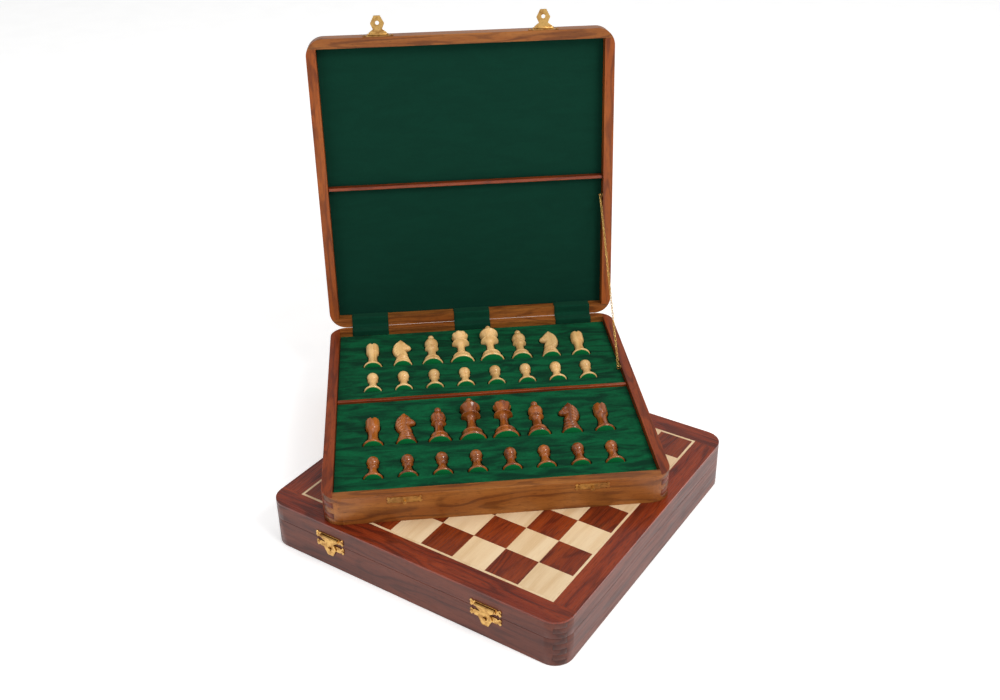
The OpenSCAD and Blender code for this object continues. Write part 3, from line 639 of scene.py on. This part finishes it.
def add_man(kind, column, team, node, name):
    mirrored = kind == "knight" and column > 3
    spin = Matrix.Rotation(0.7 * column + (0.4 if team == "dark" else 0.0), 4, "Z")
    vertices, faces = man_parts(kind)
    disc = felt_disc(kind)
    if mirrored:
        vertices, faces = flip(vertices, faces)
    material = BOX if team == "light" else SHEE
    body = add_object(name + "_wood", vertices, faces, material)
    finish_normals(body)
    body.matrix_world = lay(kind, column, team)
    if kind not in ("knight", "rook"):
        body.matrix_world = body.matrix_world @ spin
    felt = add_object(name + "_felt", *disc, BASE_FELT)
    finish_normals(felt)
    felt.matrix_world = lay(kind, column, team)
    for piece, slot in ((body, "boxwood" if team == "light" else "sheesham"), (felt, "tray_felt")):
        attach(piece, node)
        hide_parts(node)


for team, officers in (("light", LIGHT_ROW), ("dark", DARK_ROW)):
    for column, kind in enumerate(officers):
        side = "" if kind in ("king", "queen") else ("_left" if column < 4 else "_right")
        node = f"{team}_{kind}{side}"
        add_man(kind, column, team, node, node)
        add_man("pawn", column, team, team + "_pawns", f"{team}_pawn_{column + 1}")


# ---- felt inserts: a felt skin over a board, drawn down into every recess ----


MAN_GAP = 0.6


def silhouette(kind):
    """Half widths to the right and left at each height, grown by the gap round the man."""
    lean = SINK * BASE_R[kind] * math.tan(SLOPE)
    heights = np.arange(-1.0 - lean, HEIGHT[kind] + 1.01, 0.25)
    loops = {1: [], -1: []}
    turned_line = np.array([(r, h) for r, h in OUTLINES[kind]])
    order = np.argsort(turned_line[:, 1], kind="stable")
    for side in (1, -1):
        solid = np.where((heights >= -lean) & (heights <= turned_line[:, 1].max()),
                         np.interp(heights, turned_line[order, 1], turned_line[order, 0]), 0.0)
        solid[(heights >= -lean) & (heights < 2)] = BASE_R[kind]
        if kind == "knight":
            head = closed_smooth(KNIGHT_HEAD, 1)
            for i, h in enumerate(heights):
                reach = [a[0] + (b[0] - a[0]) * (h - a[1]) / (b[1] - a[1])
                         for a, b in zip(head, np.roll(head, -1, axis=0)) if (a[1] > h) != (b[1] > h)]
                if reach:
                    solid[i] = max(solid[i], max(side * v for v in reach))
        solid[heights > HEIGHT[kind]] = 0
        reach = int(1.2 * BASE_R[kind] * math.sin(SLOPE))
        solid[reach:] = np.maximum(solid[reach:], solid[:len(solid) - reach])
        grown = np.zeros(len(heights))
        for i, h in enumerate(heights):
            near = np.abs(heights - h) <= MAN_GAP
            real = near & (solid > 0)
            if real.any():
                rounded = np.sqrt(np.maximum(0, MAN_GAP ** 2 - (heights[real] - h) ** 2))
                grown[i] = (solid[real] + rounded).max()
        loops[side] = grown
    real = np.flatnonzero(np.minimum(loops[1], loops[-1]) > 0.8)
    right = [(loops[1][i], heights[i]) for i in real]
    left = [(-loops[-1][i], heights[i]) for i in real]
    return right + left[::-1]


def even_loop(points, step=0.7):
    """Points spread evenly round a closed outline and eased a little."""
    points = np.array(points, float)
    ring = np.vstack([points, points[:1]])
    run = np.r_[0, np.cumsum(np.hypot(*np.diff(ring, axis=0).T))]
    count = max(24, int(run[-1] / step))
    where = np.linspace(0, run[-1], count, endpoint=False)
    loop = np.stack([np.interp(where, run, ring[:, 0]), np.interp(where, run, ring[:, 1])], 1)
    for _ in range(3):
        loop = 0.25 * np.roll(loop, 1, axis=0) + 0.5 * loop + 0.25 * np.roll(loop, -1, axis=0)
    return loop


def outward(loop):
    tangent = np.roll(loop, -1, axis=0) - np.roll(loop, 1, axis=0)
    tangent /= np.hypot(*tangent.T)[:, None]
    return np.stack([tangent[:, 1], -tangent[:, 0]], 1)


# (outward, up) steps in mm: the felt's rounded lip at a recess, and its rounded outer edge
LIP = ((1.0, 0.0), (0.62, -0.06), (0.30, -0.26), (0.08, -0.62), (0.0, -1.2))
EDGE = ((0.9, 0.0), (0.5, -0.08), (0.2, -0.35), (0.05, -0.9))


def felt_insert(name, node, row, officer_y, pawn_y):
    low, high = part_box(node)
    low, high = (low - CASE) / MM, (high - CASE) / MM
    top = (FELT_Z - CASE.z) / MM
    vertices, faces, holes = [], [], []

    def rectangle(inset):
        a, b, c, d = low.x + inset, low.y + inset, high.x - inset, high.y - inset
        n, m = 46, 24
        return ([(a + (c - a) * i / n, b) for i in range(n)] + [(c, b + (d - b) * i / m) for i in range(m)]
                + [(c + (a - c) * i / n, d) for i in range(n)] + [(a, d + (b - d) * i / m) for i in range(m)])

    def ring(points, z):
        start = len(vertices)
        vertices.extend((x, y, h) for (x, y), h in zip(points, np.broadcast_to(z, len(points))))
        return list(range(start, len(vertices)))

    def bridge(upper, lower):
        for i in range(len(upper)):
            j = (i + 1) % len(upper)
            faces.append((upper[i], lower[i], lower[j], upper[j]))

    edge = [ring(rectangle(inset), top + drop) for inset, drop in EDGE]
    edge.append(ring(rectangle(0.0), low.z + 0.02))
    for a, b in zip(edge, edge[1:]):
        bridge(a, b)
    faces.append(tuple(reversed(edge[-1])))
    boundary = [edge[0]]
    for column in range(8):
        for kind, base_y in ((row[column], officer_y), ("pawn", pawn_y)):
            loop = even_loop(silhouette(kind)) * (1, math.cos(SLOPE))
            if kind == "knight" and column > 3:
                loop = loop[::-1] * (-1, 1)
            away = outward(loop)
            loop = loop + ((column - 3.5) * COLUMN / MM, base_y)
            under = top - SINK * BASE_R[kind] - (BASE_R[kind] + 0.3) / math.cos(SLOPE)
            bottom = under + (loop[:, 1] - base_y) * math.tan(SLOPE)
            rings = [ring(loop + away * out, top + drop) for out, drop in LIP]
            rings.append(ring(loop, bottom + 1.0))
            rings.append(ring(loop - away * 0.35, bottom + 0.25))
            rings.append(ring(loop - away * 0.8, bottom))
            for a, b in zip(rings, rings[1:]):
                bridge(b, a)
            centre = len(vertices)
            vertices.append((*loop.mean(0), float(bottom.mean())))
            deepest = rings[-1]
            for i in range(len(deepest)):
                faces.append((deepest[i], deepest[(i + 1) % len(deepest)], centre))
            boundary.append(rings[0])
            holes.append(loop + away * LIP[0][0])
    ids = [i for loop in boundary for i in loop]
    rim = [Vector(vertices[i][:2]) for i in ids]
    edges, at = [], 0
    for loop in boundary:
        edges += [(at + i, at + (i + 1) % len(loop)) for i in range(len(loop))]
        at += len(loop)
    step = 4.5  # of the loose points between the recesses
    gx, gy = np.meshgrid(np.arange(low.x + 4, high.x - 3, step), np.arange(low.y + 4, high.y - 3, step))
    gx, gy = gx.ravel(), gy.ravel()
    free = np.ones(len(gx), bool)
    for hole in holes:
        free &= ~inside(hole, gx, gy) & (distance_to(hole, gx, gy) > 1.2)
    spare = [Vector(p) for p in zip(gx[free], gy[free])]
    flat, _, triangles, source, *_ = delaunay_2d_cdt(rim + spare, edges, [], 0, 1e-7)
    table = []
    for i, p in enumerate(flat):
        origin = [s for s in source[i] if s < len(ids)]
        if origin:
            table.append(ids[origin[0]])
        else:
            table.append(len(vertices))
            wave = 0.05 * math.sin(0.21 * p.x + 0.6 * p.y) + 0.05 * math.sin(0.5 * p.y - 0.11 * p.x)
            vertices.append((p.x, p.y, top + wave - 0.05))
    middle = np.array([np.mean([flat[i][:] for i in t], axis=0) for t in triangles])
    solid = np.ones(len(triangles), bool)
    for hole in holes:
        solid &= ~inside(hole, middle[:, 0], middle[:, 1])
    faces += [tuple(table[i] for i in t) for t, ok in zip(triangles, solid) if ok]
    placed = [tuple(CASE + Vector(v) * MM) for v in vertices]
    obj = add_object(name, placed, faces, TRAY_FELT)
    finish_normals(obj)
    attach(obj, "set_case")
    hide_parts(node)


felt_insert("felt_insert_dark", "insert_dark", DARK_ROW, ROW_Y["dark", "officer"], ROW_Y["dark", "pawn"])
felt_insert("felt_insert_light", "insert_light", LIGHT_ROW, ROW_Y["light", "officer"], ROW_Y["light", "pawn"])


# ---- stay chain: a fine curb chain between its two eyes ----


LINK_LONG, LINK_WIDE, LINK_WIRE = 1.75, 1.02, 0.27


def link_mesh(centre, along, turn, long=LINK_LONG, wide=LINK_WIDE, wire=LINK_WIRE, steps=18, sides=6):
    """One oval link; `turn` twists it about the chain's line. Sizes in mm, centre in metres."""
    along = along.normalized()
    side = along.cross(Vector((1, 0, 0))).normalized()
    up = side.cross(along)
    flat = side * math.cos(turn) + up * math.sin(turn)
    thick = along.cross(flat)
    vertices, faces = [], []
    for i in range(steps):
        a = 2 * math.pi * i / steps
        point = along * long * math.cos(a) + flat * wide * math.sin(a)
        tangent = (along * -long * math.sin(a) + flat * wide * math.cos(a)).normalized()
        out = tangent.cross(thick)
        twist = thick * 0.28 * math.sin(2 * a)
        for k in range(sides):
            b = 2 * math.pi * k / sides
            tube = point + twist + out * wire * math.cos(b) + thick * wire * math.sin(b)
            vertices.append(centre + tube * MM)
    for i in range(steps):
        for k in range(sides):
            j, m = (i + 1) % steps, (k + 1) % sides
            faces.append((i * sides + k, i * sides + m, j * sides + m, j * sides + k))
    return vertices, faces


def box_centre(node):
    low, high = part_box(node)
    return (low + high) / 2


eye_low, eye_high = box_centre("tray_chain_eye"), box_centre("lid_chain_eye")
EYE_MIDDLE = 1.9 * MM  # from an eye's side face to the middle of its ring
ring_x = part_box("tray_chain_eye")[0].x + EYE_MIDDLE
chain_start = Vector((ring_x, eye_low.y, eye_low.z))
chain_end = Vector((ring_x, eye_high.y, eye_high.z))
chain_line = chain_end - chain_start
first = LINK_LONG * MM + 0.9 * MM
pitch = 2.62 * MM
count = int((chain_line.length - 2 * first) / pitch) + 1
pitch = (chain_line.length - 2 * first) / (count - 1)
direction = chain_line.normalized()
turns = [math.radians(45 if i % 2 else -45) for i in range(count)]
links = [link_mesh(chain_start + direction * (first + pitch * i), direction, turn)
         for i, turn in enumerate(turns)]
chain = add_object("stay_chain_links", *join_meshes(links), CHAIN_BRASS)
finish_normals(chain)
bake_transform(chain)
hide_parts("stay_chain")


# ---- hinge covers: felt strips from the lid's lining to the tray's felt ----

COVER_W = 38
COVER_T = 0.8
COVER_R = 2.3  # of the middle line's bend round the hinge knuckles
COVER_OFFSETS = {"left": -108, "middle": 0, "right": 108}
from_lid = TO_LID.inverted()


def cover_path():
    """The strip's middle line in the case's section, from the tray's felt up to the lid's lining."""
    side = (INNER / MM) - 0.5
    top = TRAY_H / MM + 0.5
    hinge_y, hinge_z = (HINGE.y - CASE.y) / MM, (HINGE.z - CASE.z) / MM
    line = [(side, (FELT_Z - CASE.z) / MM + 0.15)] + [(side, z) for z in (23.5, 25.0, 26.4)]
    line += [(side + 0.15, top - 0.5), (side + 0.6, top - 0.08), (side + 1.3, top)]
    line += [(side + 1.3 + 1.3 * i, top) for i in range(1, 5)]
    for angle in (166, 152, 138, 124, 110):
        a = math.radians(angle)
        line.append((hinge_y + COVER_R * math.cos(a), hinge_z + COVER_R * math.sin(a)))
    points = [CASE + Vector((0, y, z)) * MM for y, z in line]
    rim = (LID_LOW - 0.5 * MM) / MM
    lid_line = [(146.8, rim), (145, rim), (143.2, rim), (141.6, rim), (side + 0.6, rim + 0.05),
                (side + 0.12, rim + 0.45)] + [(side, rim + d) for d in (1.3, 3.4, 5.5, 7.6, 9.6, 11.0)]
    points += [from_lid @ (Vector((0, y, z)) * MM) for y, z in lid_line]
    return [Vector((0, p.y, p.z)) for p in points]


def cover(name, x):
    path = smooth_line(cover_path(), 1)
    count, across = len(path), 12
    normals = []
    for i in range(count):
        tangent = (path[min(i + 1, count - 1)] - path[max(i - 1, 0)]).normalized()
        normals.append(Vector((0, -tangent.z, tangent.y)))
    vertices, faces = [], []
    for side in (-1, 1):
        for i, (p, n) in enumerate(zip(path, normals)):
            for k in range(across + 1):
                u = k / across * 2 - 1
                thin = 1 - 0.5 * max(0.0, abs(u) - 0.9) / 0.1
                puff = 0.10 * (1 - u * u) * math.sin(i / (count - 1) * math.pi)
                offset = n * (side * (COVER_T / 2 - 0.03) * thin + puff * (side < 0) * -1) * MM
                vertices.append(Vector((x + u * COVER_W / 2 * MM, 0, 0)) + p + offset)
    layer = count * (across + 1)
    for i in range(count - 1):
        for k in range(across):
            a, b = i * (across + 1) + k, (i + 1) * (across + 1) + k
            faces.append((a, a + 1, b + 1, b))
            faces.append((layer + a, layer + b, layer + b + 1, layer + a + 1))
    border = ([k for k in range(across + 1)] + [i * (across + 1) + across for i in range(1, count)]
              + [(count - 1) * (across + 1) + k for k in range(across - 1, -1, -1)]
              + [i * (across + 1) for i in range(count - 2, 0, -1)])
    for a, b in zip(border, border[1:] + border[:1]):
        faces.append((a, layer + a, layer + b, b))
    obj = add_object(name, vertices, faces, COVER_FELT)
    finish_normals(obj)
    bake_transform(obj)
    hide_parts("hinge_covers")


for name, offset in COVER_OFFSETS.items():
    cover("hinge_cover_" + name, CASE.x + offset * MM)


# ---- floor, light and camera ----


FLOOR_REACH = 6.0
FLOOR_GLOW = 0.42
FLOOR_DROP = 0.4 * MM
WORLD_GLOW = 0.48
CAMERA_PLACE = (-0.0776, -0.8430, 0.6539)
CAMERA_LOOK = (0.0774, 0.8637, -0.4981)
CAMERA_ROLL = math.radians(-0.98)


def stage_material():
    t = Tree("floor_white")
    grain = t.noise(t.here(), scale=18, detail=2)
    dull, clean = (0.90, 0.90, 0.90, 1), (0.93, 0.93, 0.93, 1)
    t.put(t.shader.inputs["Base Color"], t.blend(t.ramp(grain, 0.3, 0.7), dull, clean))
    t.shader.inputs["Roughness"].default_value = 0.9
    t.shader.inputs["Specular IOR Level"].default_value = 0.1
    t.shader.inputs["Emission Color"].default_value = (1.0, 1.0, 1.0, 1.0)
    t.shader.inputs["Emission Strength"].default_value = FLOOR_GLOW
    return t.material


corners = [(x * FLOOR_REACH, y * FLOOR_REACH, 0) for x, y in ((-1, -1), (1, -1), (1, 1), (-1, 1))]
floor = add_object("floor", corners, [(0, 1, 2, 3)], stage_material(), smooth=False)
floor.location.z = -FLOOR_DROP


def area_light(name, place, target, width, power, colour):
    data = bpy.data.lights.new(name, "AREA")
    data.shape, data.size, data.energy, data.color = "SQUARE", width, power, colour
    obj = bpy.data.objects.new(name, data)
    SCENE.collection.objects.link(obj)
    obj.location = place
    obj.rotation_euler = (Vector(target) - Vector(place)).to_track_quat("-Z", "Y").to_euler()


area_light("key", (1.1, -1.2, 1.8), (0, 0.05, 0.1), 0.8, 24, (1.0, 0.98, 0.95))
area_light("fill", (-1.5, -1.4, 1.3), (0, 0.05, 0.1), 1.4, 5, (0.97, 0.98, 1.0))
area_light("top", (0.2, 0.5, 2.2), (0, 0.1, 0.1), 1.6, 9, (1.0, 1.0, 1.0))

world = bpy.data.worlds.new("studio")
world.use_nodes = True
world.node_tree.nodes["Background"].inputs["Color"].default_value = (1.0, 1.0, 1.0, 1.0)
world.node_tree.nodes["Background"].inputs["Strength"].default_value = WORLD_GLOW
SCENE.world = world
SCENE.view_settings.view_transform = "Standard"

camera_data = bpy.data.cameras.new("camera")
camera = bpy.data.objects.new("camera", camera_data)
SCENE.collection.objects.link(camera)
camera_data.sensor_width = 36
camera_data.lens = 41.1
camera_data.clip_start, camera_data.clip_end = 0.01, 50
aim = Vector(CAMERA_LOOK).normalized().to_track_quat("-Z", "Y").to_matrix()
camera.location = CAMERA_PLACE
camera.rotation_euler = (aim @ Matrix.Rotation(CAMERA_ROLL, 3, "Z")).to_euler()
SCENE.camera = camera

bpy.context.view_layer.update()
